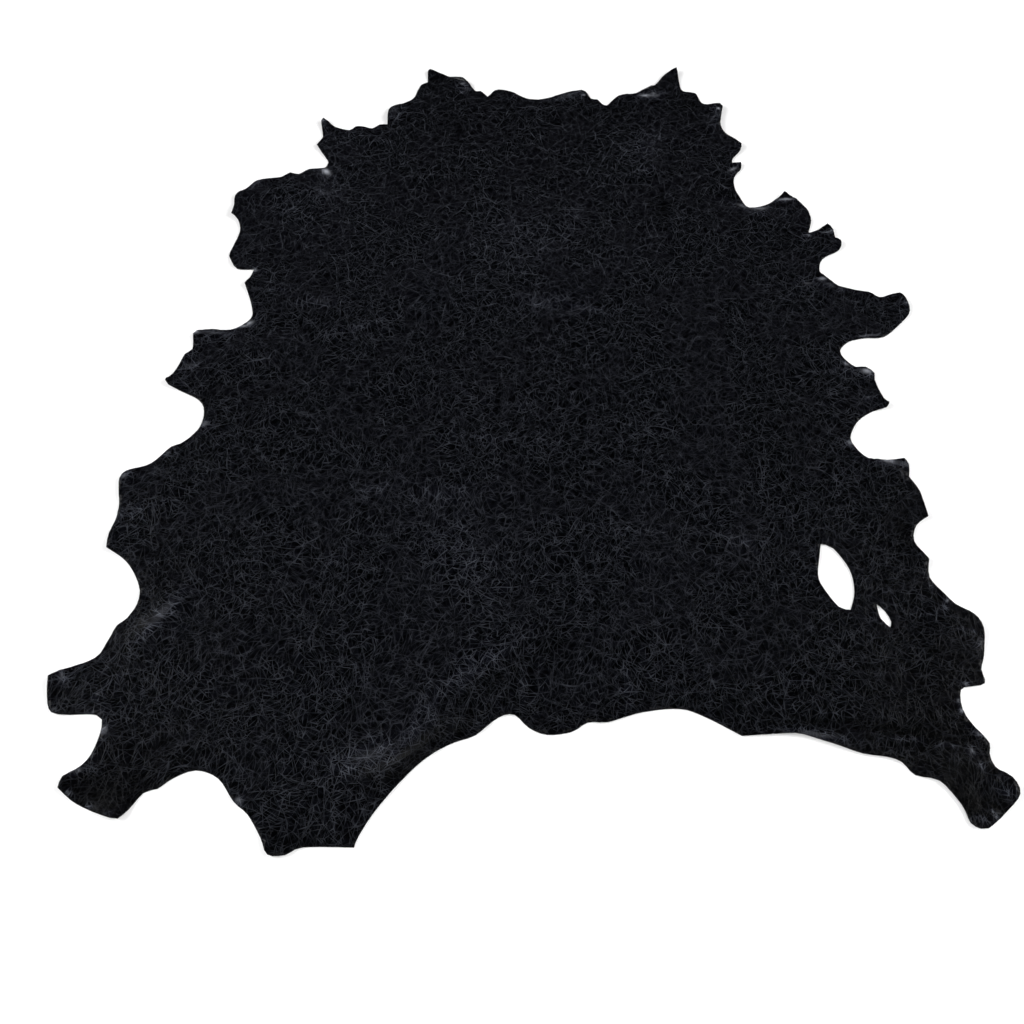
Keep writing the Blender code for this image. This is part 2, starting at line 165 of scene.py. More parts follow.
# The finer creases, as listed rows: start, bend and end in centimetres from the crease origin,
# height and half width in millimetres. A negative height is a trough. Each crease is a curve of a few
# steps, which fades out over the last part of its length at both ends.
CREASE_ORIGIN = (-0.0033, 0.0098)
CREASE_STEPS = 8
CREASE_FADE = 0.25
CREASE_REACH = 0.6
Crease = namedtuple("Crease", "start bend end height half_width")
CREASES = [
    Crease((-47.0, -126.5), (-30.0, -120.5), (-21.0, -108.0), 5.0, 26.0),
    Crease((-24.0, -111.0), (-14.0, -102.0), (-4.0, -93.5), 5.0, 24.0),
    Crease((-40.0, -121.0), (-27.0, -114.0), (-17.0, -103.0), -3.0, 26.0),
    Crease((-5.0, -60.5), (12.0, -60.0), (28.0, -61.0), 3.0, 22.0),
    Crease((20.0, -60.5), (42.0, -62.5), (60.0, -68.5), 3.0, 22.0),
    Crease((-26.0, -31.0), (-18.0, -31.5), (-7.0, -31.0), 3.0, 18.0),
    Crease((-2.0, -31.5), (5.0, -33.0), (11.0, -35.5), 3.0, 18.0),
    Crease((-43.0, -47.5), (-38.0, -49.5), (-33.0, -49.0), 3.0, 18.0),
    Crease((-84.0, 29.0), (-78.0, 27.5), (-72.0, 27.0), 3.0, 18.0),
    Crease((-70.0, 23.0), (-65.0, 22.0), (-59.0, 22.5), 3.0, 18.0),
    Crease((-62.0, 7.5), (-54.0, 11.0), (-40.0, 14.5), 3.0, 18.0),
    Crease((-76.0, 11.0), (-68.0, 9.0), (-62.0, 8.0), 2.0, 18.0),
    Crease((-95.0, -91.0), (-93.0, -87.0), (-89.5, -82.0), 4.0, 20.0),
    Crease((-112.0, -56.0), (-105.0, -55.0), (-96.0, -52.5), 2.5, 18.0),
    Crease((33.0, 92.0), (40.0, 99.0), (48.0, 103.0), 3.0, 45.0),
    Crease((36.0, 84.0), (40.0, 86.0), (45.0, 86.5), 2.5, 25.0),
    Crease((9.0, 126.0), (14.0, 127.5), (21.0, 129.0), 3.0, 22.0),
    Crease((39.0, 127.0), (43.0, 128.5), (48.0, 131.5), 4.0, 22.0),
    Crease((-28.0, 136.5), (-24.5, 135.0), (-20.5, 131.5), 3.5, 18.0),
    Crease((-30.0, 132.5), (-26.0, 131.0), (-22.5, 128.0), -2.5, 18.0),
    Crease((-49.5, 113.0), (-48.0, 117.0), (-45.0, 121.0), 3.5, 20.0),
    Crease((66.0, 105.0), (68.0, 113.0), (69.0, 121.5), 3.5, 22.0),
    Crease((70.0, 88.0), (71.5, 84.0), (72.5, 81.0), 3.0, 16.0),
    Crease((69.0, 100.0), (71.5, 98.0), (74.0, 96.0), 3.0, 16.0),
    Crease((82.0, 70.0), (86.0, 70.6), (90.5, 70.0), -4.0, 14.0),
    Crease((93.5, 54.2), (96.5, 53.4), (99.5, 53.4), -4.0, 12.0),
    Crease((70.0, 66.0), (74.0, 64.5), (79.0, 66.0), 3.0, 18.0),
    Crease((91.0, 33.0), (93.0, 31.0), (96.0, 29.0), 3.0, 16.0),
    Crease((93.0, -37.7), (97.0, -41.0), (102.0, -44.0), 4.0, 14.0),
    Crease((96.0, -6.0), (98.0, -6.5), (100.0, -8.0), 3.0, 16.0),
    Crease((95.0, -83.0), (100.0, -84.0), (106.0, -86.5), 3.0, 14.0),
    Crease((98.0, -89.5), (103.0, -90.5), (109.0, -93.0), 3.0, 14.0),
    Crease((50.0, -116.8), (72.0, -116.9), (86.0, -118.7), 4.0, 14.0),
    Crease((84.0, -118.6), (94.0, -119.8), (102.0, -120.2), 4.0, 14.0),
    Crease((94.0, -130.0), (100.0, -128.5), (106.0, -128.0), 3.0, 16.0),
    Crease((96.0, -135.5), (99.0, -136.0), (103.0, -135.0), 3.0, 14.0),
    Crease((20.0, -104.0), (22.5, -106.0), (23.5, -109.5), 2.5, 16.0),
    Crease((-100.0, -79.0), (-98.0, -83.0), (-97.0, -87.0), 2.5, 16.0),
    Crease((-108.0, 7.0), (-104.0, 4.0), (-100.0, 4.0), 2.0, 16.0),
    Crease((-86.0, 12.0), (-84.0, 13.0), (-83.0, 16.0), 3.0, 16.0),
    Crease((-94.0, -31.0), (-92.0, -27.0), (-91.5, -22.0), 3.0, 16.0),
    Crease((-71.0, 85.0), (-68.5, 84.0), (-67.0, 81.0), 4.0, 20.0),
]

# The leather never lies dead flat: broad slow waves run all over it, and shorter ones, which rise more
# than they sink, along its edge. Waves are counted for each metre, heights are in millimetres, and an
# edge wave reaches inward by metres.
Wave = namedtuple("Wave", "per_metre height")
WAVES = [Wave(1.6, 2.2), Wave(4.5, 1.2), Wave(11.0, 0.5)]
EdgeWave = namedtuple("EdgeWave", "per_metre height reach")
EDGE_WAVES = [EdgeWave(7.0, 5.0, 0.07), EdgeWave(24.0, 3.5, 0.028)]
EDGE_WAVE_OFFSET = 9.0
EDGE_WAVE_LOWEST = -0.1

# Paler and darker places painted into the coat's colour: a few broad ones that make regions paler or
# darker, and many small ones that are painted highlights and glints on folds, creases and lifted edges
# and painted shade beside folds and ridges. Each row has its middle in centimetres from the crease
# origin, turn in degrees, half length and half width in centimetres, and its tone and painted light. A
# value of
# 0.5 doubles the coat's colour and one of -1 quarters it. What is above 0.5 adds an even painted sheen
# instead, a painted highlight as where a fold or a lifted edge catches the light. The coat is also darker
# in a thin band along the cut edge.
TONE_AND_LIGHT_FADE = 1.5
TONE_AND_LIGHT_REACH = 2.0
RIM_REACH = 0.012
RIM_DARKENING = -0.35
Tone = namedtuple("Tone", "across along turn length width tone")
TONES_AND_PAINTED_LIGHT = [
    Tone(-15.0, 62.0, 0.0, 90.0, 60.0, 0.1),
    Tone(-70.0, 58.0, 0.0, 18.0, 16.0, 0.12),
    Tone(-68.0, 92.0, 57.0, 42.0, 16.0, 0.2),
    Tone(30.0, 40.0, 0.0, 9.0, 8.0, 0.15),
    Tone(-30.0, 30.0, 90.0, 20.0, 12.0, 0.12),
    Tone(-18.0, -68.0, -60.0, 18.0, 11.0, 0.35),
    Tone(-106.0, -20.0, 90.0, 12.0, 9.0, 0.6),
    Tone(98.0, -118.0, 90.0, 34.0, 24.0, -0.6),
    Tone(98.0, -58.0, 90.0, 30.0, 20.0, -0.2),
    Tone(110.0, -45.0, 90.0, 12.0, 8.0, -0.7),
    Tone(108.0, -85.0, 90.0, 12.0, 6.0, -0.2),
    Tone(-110.0, -80.0, 90.0, 10.0, 8.0, -0.3),
    Tone(60.0, -88.0, 0.0, 20.0, 16.0, -0.15),
    Tone(70.0, -28.0, 90.0, 26.0, 12.0, -0.15),
    Tone(8.0, -42.0, 90.0, 12.0, 9.0, -0.12),
    Tone(-92.0, 2.0, 0.0, 22.0, 10.0, 0.12),
    Tone(50.0, -122.0, 0.0, 36.0, 16.0, -0.4),
    Tone(0.0, -128.0, 0.0, 34.0, 14.0, -0.85),
    Tone(-100.0, -130.0, 20.0, 24.0, 15.0, -0.4),
    Tone(-37.0, -122.5, 20.0, 11.0, 4.0, 1.1),
    Tone(-27.0, -115.0, 55.0, 8.0, 3.5, 0.6),
    Tone(-15.0, -101.0, 38.0, 15.0, 4.0, 0.6),
    Tone(-92.0, -86.5, 58.0, 9.0, 2.4, 1.2),
    Tone(-17.0, -31.0, 0.0, 12.0, 2.0, 0.35),
    Tone(5.0, -33.0, -15.0, 8.0, 2.0, 0.4),
    Tone(-42.0, -48.5, 25.0, 6.0, 2.0, 0.6),
    Tone(-25.0, -50.0, 0.0, 15.0, 4.0, 0.35),
    Tone(5.0, -59.0, 0.0, 10.0, 2.0, 0.25),
    Tone(27.0, -61.5, -5.0, 12.0, 2.2, 0.35),
    Tone(55.0, -66.0, -35.0, 7.0, 3.0, 0.5),
    Tone(-51.0, -70.5, 0.0, 3.0, 2.0, 0.55),
    Tone(-2.0, -20.0, 0.0, 4.0, 3.0, 0.4),
    Tone(-18.0, -15.0, -45.0, 7.0, 3.0, 0.25),
    Tone(32.0, -28.0, -10.0, 8.0, 3.0, 0.2),
    Tone(22.0, -106.0, 90.0, 5.0, 2.0, 0.4),
    Tone(-40.0, -104.0, 0.0, 4.0, 3.0, 0.25),
    Tone(64.0, -117.6, -8.0, 9.0, 1.5, 1.7),
    Tone(84.0, -118.5, -5.0, 11.0, 0.6, 1.1),
    Tone(96.0, -120.4, -12.0, 5.0, 0.9, 1.5),
    Tone(96.0, -122.0, -5.0, 5.0, 2.0, 0.3),
    Tone(90.0, -117.7, -5.0, 10.0, 1.0, -0.9),
    Tone(98.3, -6.6, -15.0, 2.2, 1.3, 1.9),
    Tone(98.5, -7.5, -25.0, 4.5, 2.4, 0.7),
    Tone(91.4, -5.1, 20.0, 4.0, 2.5, 0.5),
    Tone(98.0, -11.2, 70.0, 4.0, 2.0, -0.2),
    Tone(96.2, -16.1, -30.0, 2.0, 0.8, 1.6),
    Tone(99.0, -39.8, -5.0, 7.0, 2.0, 1.3),
    Tone(86.0, -45.0, 15.0, 6.0, 3.0, 0.2),
    Tone(104.0, -89.0, -15.0, 7.0, 4.0, -0.1),
    Tone(101.0, -130.0, 15.0, 8.0, 3.0, 0.1),
    Tone(98.5, -136.8, -20.0, 2.4, 1.2, 1.2),
    Tone(-101.0, -126.0, 10.0, 5.0, 2.0, 0.4),
    Tone(-101.0, -116.0, 90.0, 4.0, 2.0, 0.7),
    Tone(-107.0, -56.0, 20.0, 7.0, 3.0, 0.6),
    Tone(-91.9, -26.3, 40.0, 2.4, 1.4, 1.7),
    Tone(-100.4, -4.3, 0.0, 3.0, 2.0, 0.7),
    Tone(-97.5, -3.5, 20.0, 3.0, 0.8, 0.5),
    Tone(-110.6, -44.5, 60.0, 2.0, 1.0, 1.8),
    Tone(-100.5, -36.2, 40.0, 2.5, 1.2, 1.5),
    Tone(-103.0, -3.0, 0.0, 9.0, 6.0, 0.2),
    Tone(-105.0, -45.0, 0.0, 8.0, 5.0, 0.15),
    Tone(-109.0, -104.0, 0.0, 7.0, 5.0, 0.05),
    Tone(-22.0, 131.0, 45.0, 4.0, 2.0, 1.0),
    Tone(-23.8, 133.2, 20.0, 2.2, 0.9, 1.8),
    Tone(-47.5, 116.0, 80.0, 5.0, 2.5, 0.7),
    Tone(-73.0, 111.5, 80.0, 3.0, 1.4, 1.7),
    Tone(45.0, 126.2, 20.0, 5.0, 2.0, 0.9),
    Tone(43.3, 126.0, 0.0, 4.0, 0.8, 1.8),
    Tone(47.0, 127.2, -35.0, 1.6, 0.8, 2.0),
    Tone(15.0, 127.0, 25.0, 8.0, 2.5, 1.0),
    Tone(21.0, 127.2, 0.0, 1.0, 0.8, 2.1),
    Tone(41.0, 98.0, 60.0, 13.0, 7.0, 0.5),
    Tone(34.0, 93.0, 0.0, 12.0, 6.0, 0.1),
    Tone(67.0, 113.0, 80.0, 7.0, 2.5, 0.7),
    Tone(69.1, 117.6, 0.0, 1.0, 1.0, 2.6),
    Tone(73.0, 96.9, 20.0, 2.0, 1.0, 0.8),
    Tone(70.5, 84.0, 60.0, 5.0, 2.2, 0.6),
    Tone(70.3, 84.9, 25.0, 2.6, 0.8, 1.4),
    Tone(74.0, 65.0, -20.0, 8.0, 3.0, 0.7),
    Tone(77.0, 65.2, 0.0, 4.0, 1.2, 1.5),
    Tone(71.0, 66.5, -30.0, 3.0, 1.2, 1.0),
    Tone(86.1, 69.0, 0.0, 4.2, 0.8, 2.4),
    Tone(96.6, 53.0, 0.0, 3.2, 0.6, 1.8),
    Tone(91.9, 31.6, 0.0, 2.2, 0.9, 2.0),
    Tone(94.2, 28.8, -30.0, 4.0, 1.5, 1.1),
    Tone(87.2, 29.7, 0.0, 3.0, 0.8, 1.1),
    Tone(84.0, 29.0, 0.0, 7.0, 2.0, 0.4),
    Tone(-68.5, 82.5, -45.0, 5.0, 2.6, 0.6),
    Tone(-68.8, 83.6, -45.0, 2.4, 1.3, 2.2),
    Tone(-67.0, 73.0, 0.0, 7.0, 5.0, 0.55),
    Tone(-79.0, 66.0, 0.0, 5.0, 4.0, 0.35),
    Tone(-79.0, 28.0, -10.0, 6.0, 2.0, 0.75),
    Tone(-64.0, 22.0, 0.0, 7.0, 2.0, 0.95),
    Tone(-52.0, 11.0, 20.0, 12.0, 1.8, 0.5),
    Tone(-84.0, 14.5, 30.0, 4.0, 3.0, 0.4),
    Tone(-84.8, 12.8, 20.0, 2.0, 1.2, 2.0),
    Tone(-87.5, 11.4, 10.0, 2.5, 0.8, 2.6),
    Tone(-100.4, 8.7, 30.0, 1.4, 1.2, 2.2),
    Tone(-95.0, 9.0, 0.0, 8.0, 1.6, 1.1),
    Tone(-86.8, 35.8, 0.0, 1.4, 1.4, 2.2),
    Tone(-85.5, 34.5, 0.0, 3.0, 2.5, 0.4),
    Tone(-8.0, 57.0, 0.0, 7.0, 4.0, 0.3),
    Tone(0.0, 48.0, 0.0, 18.0, 14.0, 0.25),
    Tone(15.0, 60.0, 70.0, 10.0, 4.0, 0.3),
    Tone(4.0, 22.0, 0.0, 10.0, 4.0, 0.6),
    Tone(18.0, 19.0, -10.0, 8.0, 2.0, 0.5),
    Tone(41.0, 84.5, 0.0, 4.0, 3.0, 0.65),
    Tone(-95.0, 76.0, 30.0, 6.0, 2.0, 1.0),
    Tone(-112.6, -102.8, -50.0, 2.4, 1.0, 1.3),
    Tone(-100.3, -103.8, 40.0, 3.5, 1.2, 0.4),
    Tone(-102.9, -107.3, 40.0, 2.6, 0.8, 1.4),
    Tone(-112.6, -111.2, 0.0, 1.5, 1.0, 1.4),
    Tone(-103.0, -112.0, 0.0, 1.8, 0.9, 1.6),
    Tone(-99.8, -116.4, 0.0, 1.4, 1.4, 2.1),
    Tone(-101.0, -122.3, 50.0, 1.6, 1.0, 1.7),
    Tone(-104.0, -126.0, 10.0, 2.2, 1.0, 2.4),
    Tone(-104.4, -131.0, -35.0, 1.6, 1.0, 2.4),
    Tone(-99.2, -134.1, -20.0, 1.6, 1.0, 2.1),
    Tone(-93.9, -135.7, -10.0, 1.4, 1.0, 1.6),
    Tone(-66.2, -132.8, -50.0, 1.6, 1.4, 1.9),
    Tone(98.8, 53.8, 0.0, 1.0, 0.8, 2.0),
    Tone(91.0, 51.9, -30.0, 1.6, 1.0, 1.6),
    Tone(115.9, 20.9, 60.0, 1.2, 0.9, 1.8),
    Tone(101.5, 7.6, 5.0, 7.0, 0.7, 1.6),
    Tone(93.0, -3.5, -40.0, 1.5, 1.0, 1.8),
    Tone(88.8, -32.7, 0.0, 1.6, 1.4, 2.3),
    Tone(97.5, -39.0, 0.0, 2.2, 0.9, 2.2),
    Tone(102.6, -40.2, 60.0, 1.2, 0.8, 0.8),
    Tone(100.6, -77.5, 70.0, 1.2, 0.9, 2.5),
    Tone(103.7, -82.2, 60.0, 1.3, 0.9, 2.2),
    Tone(101.9, -84.5, 0.0, 1.0, 1.0, 2.5),
    Tone(98.5, -87.0, -35.0, 5.0, 0.8, 0.8),
    Tone(105.1, -91.0, -20.0, 1.6, 0.9, 1.7),
    Tone(107.4, -91.4, 0.0, 1.2, 1.0, 1.5),
    Tone(108.4, -94.3, 60.0, 1.6, 0.9, 1.1),
    Tone(106.4, -94.8, 0.0, 1.2, 1.0, 0.8),
    Tone(102.3, -105.1, 20.0, 1.4, 1.0, 2.3),
    Tone(99.9, -109.0, 0.0, 1.1, 1.0, 2.7),
    Tone(99.9, -111.4, 80.0, 1.2, 0.8, 3.1),
    Tone(102.4, -117.6, -30.0, 1.6, 0.8, 2.4),
    Tone(101.2, -116.2, -40.0, 2.0, 0.8, 1.0),
    Tone(99.6, -120.9, -40.0, 1.2, 0.8, 2.3),
    Tone(100.8, -124.6, -50.0, 1.6, 0.7, 2.0),
    Tone(103.4, -123.8, 60.0, 1.2, 0.8, 0.5),
    Tone(95.6, -137.0, 0.0, 1.1, 0.9, 2.0),
    Tone(100.8, -135.6, -75.0, 2.0, 0.3, 2.6),
    Tone(101.8, -136.1, 0.0, 0.9, 0.8, 1.6),
    Tone(104.8, -130.6, -28.0, 3.4, 1.6, 1.2),
    Tone(100.2, -131.4, 70.0, 1.6, 0.8, 0.9),
    Tone(100.0, -133.6, -25.0, 4.5, 1.4, -1.0),
    Tone(94.5, -131.0, 60.0, 5.0, 2.6, -0.6),
    Tone(96.4, -134.7, 60.0, 3.5, 2.0, -1.0),
    Tone(-52.0, -142.0, 0.0, 9.0, 3.0, -0.5),
    Tone(-97.0, -131.0, 0.0, 12.0, 5.0, -0.6),
    Tone(5.0, -95.0, -30.0, 6.0, 5.0, -0.35),
    Tone(-10.0, -105.0, 38.0, 12.0, 3.0, -0.3),
    Tone(-27.0, -122.0, 42.0, 9.0, 2.5, -0.6),
    Tone(76.0, -115.3, -4.0, 25.0, 1.2, -0.6),
    Tone(-93.0, -74.0, 60.0, 10.0, 4.0, -0.25),
    Tone(97.0, -63.0, 90.0, 8.0, 3.0, -0.5),
    Tone(-34.5, 138.0, 100.0, 6.0, 4.0, -0.45),
    Tone(33.0, 119.0, 0.0, 5.0, 4.0, -0.45),
    Tone(59.0, 121.0, 0.0, 6.0, 4.0, -0.5),
    Tone(-26.0, 107.0, 0.0, 8.0, 8.0, -0.2),
    Tone(-50.0, 109.0, 0.0, 4.0, 3.0, -0.4),
    Tone(-70.0, -141.0, 0.0, 7.0, 7.0, -0.8),
    Tone(92.0, -138.0, 0.0, 6.0, 5.0, -0.35),
    Tone(-31.0, -141.0, 0.0, 7.0, 7.0, -0.45),
    Tone(69.5, 75.0, 90.0, 6.0, 2.0, -0.6),
    Tone(86.2, 71.4, 0.0, 2.6, 1.2, -1.2),
    Tone(97.3, 55.4, 20.0, 3.2, 1.4, -1.1),
    Tone(45.0, 65.0, 80.0, 6.0, 3.0, -0.6),
    Tone(-100.7, -37.9, 30.0, 3.0, 2.0, -0.3),
    Tone(-93.2, -17.2, 80.0, 5.0, 2.5, -0.35),
    Tone(-93.4, 1.2, 0.0, 7.0, 3.0, -0.15),
    Tone(-104.6, -9.7, 30.0, 3.0, 2.0, -0.35),
    Tone(-88.1, 28.0, 90.0, 3.0, 2.0, -0.6),
    Tone(83.0, 51.0, 0.0, 4.0, 4.0, -0.3),
    Tone(-65.0, 27.0, 0.0, 7.0, 1.5, -0.2),
    Tone(-25.0, 80.0, 0.0, 12.0, 5.0, -0.05),
    Tone(10.0, 79.0, 0.0, 12.0, 5.0, -0.05),
]


def cad_copy(node):
    """A merged copy of a solid of the frame."""
    shape = bmesh.new()
    shape.from_mesh(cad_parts[node].data)
    bmesh.ops.remove_doubles(shape, verts=shape.verts, dist=SOLID_WELD)
    return shape


def outline_prism(solid):
    """The solid's outline as a tall prism with the same edge and holes."""
    prism = solid.copy()
    prism.normal_update()
    top = {vertex for face in prism.faces if face.normal.z > FACES_UP for vertex in face.verts}
    for vertex in prism.verts:
        vertex.co.z = PRISM_HEIGHT if vertex in top else -PRISM_HEIGHT
    mesh = bpy.data.meshes.new("hide_cutter")
    prism.to_mesh(mesh)
    prism.free()
    cutter = bpy.data.objects.new("hide_cutter", mesh)
    bpy.context.scene.collection.objects.link(cutter)
    return cutter


def cut_flat_sheet(solid):
    """A flat grid cut along the hide's edge and holes."""
    low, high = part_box("hide")
    columns = round((high.x - low.x) / CELL) + 2
    rows = round((high.y - low.y) / CELL) + 2
    shape = bmesh.new()
    bmesh.ops.create_grid(shape, x_segments=columns, y_segments=rows, size=0.5)
    bmesh.ops.scale(shape, verts=shape.verts, vec=(columns * CELL, rows * CELL, 1.0))
    mesh = bpy.data.meshes.new("hide_leather")
    shape.to_mesh(mesh)
    shape.free()
    sheet = bpy.data.objects.new("hide_leather", mesh)
    bpy.context.scene.collection.objects.link(sheet)
    cutter = outline_prism(solid)
    cut = sheet.modifiers.new("edge", "BOOLEAN")
    cut.operation = "INTERSECT"
    cut.solver = "EXACT"
    cut.object = cutter
    depsgraph = bpy.context.evaluated_depsgraph_get()
    cut_mesh = bpy.data.meshes.new_from_object(sheet.evaluated_get(depsgraph))
    cut_mesh.name = "hide_leather"
    sheet.modifiers.remove(cut)
    sheet.data = cut_mesh
    bpy.data.objects.remove(cutter, do_unlink=True)
    return sheet


def rim_tree(shape):
    """A search tree of the places along the sheet's edge and holes, seen from above."""
    rim = [vertex.co.xy for vertex in shape.verts if vertex.is_boundary]
    tree = KDTree(len(rim))
    for index, place in enumerate(rim):
        tree.insert((place.x, place.y, 0.0), index)
    tree.balance()
    return tree


def rim_distance(tree, place):
    """Distance from a place to the nearest edge, seen from above."""
    return tree.find((place.x, place.y, 0.0))[2]


def refine_rim(shape):
    """Smaller faces in a band along the cut edge and the holes, for its short waves."""
    tree = rim_tree(shape)
    band = {edge for face in shape.faces if rim_distance(tree, face.calc_center_median()) < RIM_BAND
            for edge in face.edges}
    bmesh.ops.subdivide_edges(shape, edges=list(band), cuts=RIM_CUTS, use_grid_fill=True)


def open_folded_cells(shape):
    """Join the few tiny cells that the finer cuts folded over at inward corners of the edge."""
    shape.normal_update()
    folded = {vertex for face in shape.faces if face.normal.z < 0.0 for vertex in face.verts
              if not vertex.is_boundary}
    bmesh.ops.dissolve_verts(shape, verts=list(folded))


def ease(value):
    """Ease from 0 to 1."""
    value = min(max(value, 0.0), 1.0)
    return value * value * (3.0 - 2.0 * value)


def solid_height(tree, vertex):
    """Height of the solid's underside at a point of the flat sheet, probed just inside its edge."""
    place = vertex.co.xy
    if vertex.is_boundary:
        place = place - place.normalized() * RIM_INSET
    hit = tree.ray_cast(Vector((place.x, place.y, PROBE_HEIGHT)), Vector((0.0, 0.0, -1.0)))[0]
    if hit is None:
        hit = tree.find_nearest(Vector((place.x, place.y, THICKNESS)))[0]
    return max(hit.z - THICKNESS, 0.0)


def lift_onto_solid(shape, solid):
    """Lift the flat sheet onto the solid's folds and smooth their facets away."""
    tree = BVHTree.FromBMesh(solid)
    heights = [solid_height(tree, vertex) for vertex in shape.verts]
    for vertex, height in zip(shape.verts, heights):
        vertex.co.z = height
    for _ in range(SMOOTHING_ROUNDS):
        bmesh.ops.smooth_vert(shape, verts=shape.verts, factor=SMOOTHING_SHARE, use_axis_x=False,
                              use_axis_y=False, use_axis_z=True)


def crease_line(crease):
    """Points in metres along a crease, which bends through its middle point."""
    origin = Vector(CREASE_ORIGIN)
    start, bend, end = (origin + Vector(point) * CM for point in (crease.start, crease.bend, crease.end))
    pull = 2.0 * bend - 0.5 * (start + end)
    shares = [index / CREASE_STEPS for index in range(CREASE_STEPS + 1)]
    return [start.lerp(pull, share).lerp(pull.lerp(end, share), share) for share in shares]


def crease_height(place, line, crease):
    """Height that one crease adds at a place."""
    half_width = crease.half_width * MM
    reach = (line[0] - line[-1]).length * CREASE_REACH + half_width
    if (place - line[CREASE_STEPS // 2]).length >= reach:
        return 0.0
    best = 0.0
    for index in range(CREASE_STEPS):
        run = line[index + 1] - line[index]
        share = min(max((place - line[index]).dot(run) / run.length_squared, 0.0), 1.0)
        distance = (place - line[index] - run * share).length
        if distance < half_width:
            along = (index + share) / CREASE_STEPS
            taper = ease(min(along, 1.0 - along) / CREASE_FADE)
            best = max(best, taper * ease(1.0 - distance / half_width))
    return best * crease.height * MM


def wave_height(place, edge_distance):
    """Height of the slow waves at a place and of the shorter ones near the edge."""
    height = 0.0
    for wave in WAVES:
        scale = wave.per_metre
        height += noise.noise((place.x * scale, place.y * scale, scale)) * wave.height * MM
    for wave in EDGE_WAVES:
        scale = wave.per_metre
        rise = noise.noise((place.x * scale, place.y * scale, scale + EDGE_WAVE_OFFSET))
        share = ease(1.0 - edge_distance / wave.reach)
        height += share * max(rise, EDGE_WAVE_LOWEST) * wave.height * MM
    return height


def tone_and_light_spot(tone):
    """A row of tone and painted light, with its middle in metres and the direction of its length."""
    turn = math.radians(tone.turn)
    middle = Vector(CREASE_ORIGIN) + Vector((tone.across, tone.along)) * CM
    return middle, Vector((math.cos(turn), math.sin(turn))), tone


def tone_and_light_at(place, spots):
    """The coat's tone and painted light at a place, summed over the paler and darker spots, which hold
    painted highlights and painted shade.
    """
    total = 0.0
    for middle, along, tone in spots:
        away = place - middle
        if away.length < TONE_AND_LIGHT_REACH * CM * max(tone.length, tone.width):
            length_share = away.dot(along) / (tone.length * CM)
            width_share = away.cross(along) / (tone.width * CM)
            total += tone.tone * math.exp(-TONE_AND_LIGHT_FADE * (length_share ** 2 + width_share ** 2))
    return total


def shape_hide(sheet, solid):
    """Lift the flat sheet onto the solid's folds, add its creases and waves and store the coat's tone
    with its painted highlights and painted shade.
    """
    shape = bmesh.new()
    shape.from_mesh(sheet.data)
    bmesh.ops.remove_doubles(shape, verts=shape.verts, dist=RIM_WELD)
    refine_rim(shape)
    bmesh.ops.recalc_face_normals(shape, faces=shape.faces)
    if sum(face.normal.z for face in shape.faces) < 0.0:
        bmesh.ops.reverse_faces(shape, faces=shape.faces)
    open_folded_cells(shape)
    lift_onto_solid(shape, solid)
    tree = rim_tree(shape)
    lines = [(crease, crease_line(crease)) for crease in CREASES]
    spots = [tone_and_light_spot(tone) for tone in TONES_AND_PAINTED_LIGHT]
    layer = shape.verts.layers.float.new("tone")
    for vertex in shape.verts:
        place = vertex.co.xy
        edge_distance = rim_distance(tree, place)
        # The coat's tone with painted highlights and painted shade, and darker in a thin band along the
        # cut edge.
        vertex[layer] = tone_and_light_at(place, spots) + RIM_DARKENING * ease(1.0 - edge_distance / RIM_REACH)
        height = sum(crease_height(place, line, crease) for crease, line in lines)
        height += wave_height(place, edge_distance)
        vertex.co.z = max(vertex.co.z + height, 0.0)
    for face in shape.faces:
        face.smooth = True
    shape.to_mesh(sheet.data)
    shape.free()


def thicken(sheet):
    """Give the sheet its thickness, with the flesh side below and the cut fibre along its edge."""
    thickness = sheet.modifiers.new("thickness", "SOLIDIFY")
    thickness.thickness = THICKNESS
    thickness.offset = 1.0
    thickness.material_offset = 1
    thickness.material_offset_rim = 2


# A soft noise has its clouds for each metre, its detail and an offset that sets it apart from the others.
Cloud = namedtuple("Cloud", "per_metre detail offset")
CLOUD_SLANT = 1.7


